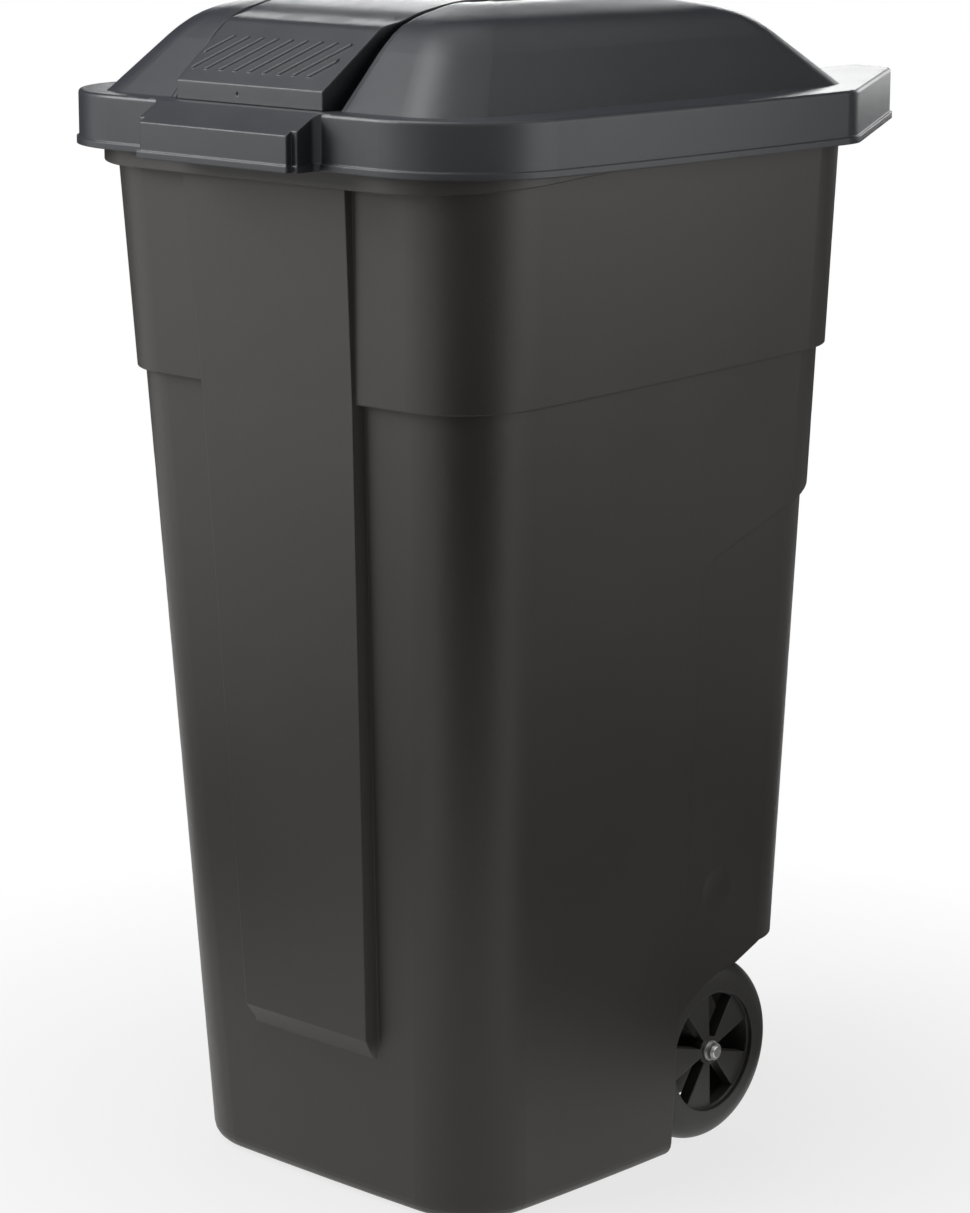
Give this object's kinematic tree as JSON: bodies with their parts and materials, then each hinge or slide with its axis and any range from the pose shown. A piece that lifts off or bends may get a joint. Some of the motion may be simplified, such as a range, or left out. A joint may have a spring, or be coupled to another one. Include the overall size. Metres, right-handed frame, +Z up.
{
  "type": "wheelie bin",
  "caption": "Tapered wheeled refuse bin with a hinged domed lid, ridged lid spine, front lifting tab, rear pull handle, and spoked wheels on a steel axle.",
  "frame": {"origin": "on the ground under the middle of the overall box", "axes": "+X right seen from the front, -Y the front with the lifting tab, +Z up"},
  "size_m": [0.4516, 0.645, 0.88],
  "materials": {
    "tub_plastic": "fine moulded grain",
    "lid_plastic": "fine moulded grain, slightly smoother",
    "wheel_plastic": "smooth moulded",
    "steel": "bright zinc"
  },
  "bodies": {
    "bin": {"body_tub": "tub_plastic", "axle": "steel", "spacer_right": "wheel_plastic", "spacer_left": "wheel_plastic", "washer_right": "steel", "washer_left": "steel", "push_nut_right": "steel", "push_nut_left": "steel", "hinge_pin_right": "tub_plastic", "hinge_pin_left": "tub_plastic"},
    "lid": {"lid_shell": "lid_plastic", "lid_spine": "lid_plastic"},
    "right_wheel": {"wheel_right": "wheel_plastic"},
    "left_wheel": {"wheel_left": "wheel_plastic"}
  },
  "joints": [
    {"name": "lid_hinge", "type": "hinge", "parent": "bin", "child": "lid", "pos_m": [0, 0.2795, 0.79], "axis": [-1, 0, 0], "range_deg": [0, 250]},
    {"name": "right_wheel_spin", "type": "hinge", "parent": "bin", "child": "right_wheel", "pos_m": [0.137, 0.05, 0.0726], "axis": [1, 0, 0], "continuous": true},
    {"name": "left_wheel_spin", "type": "hinge", "parent": "bin", "child": "left_wheel", "pos_m": [-0.137, 0.05, 0.0726], "axis": [1, 0, 0], "continuous": true}
  ]
}
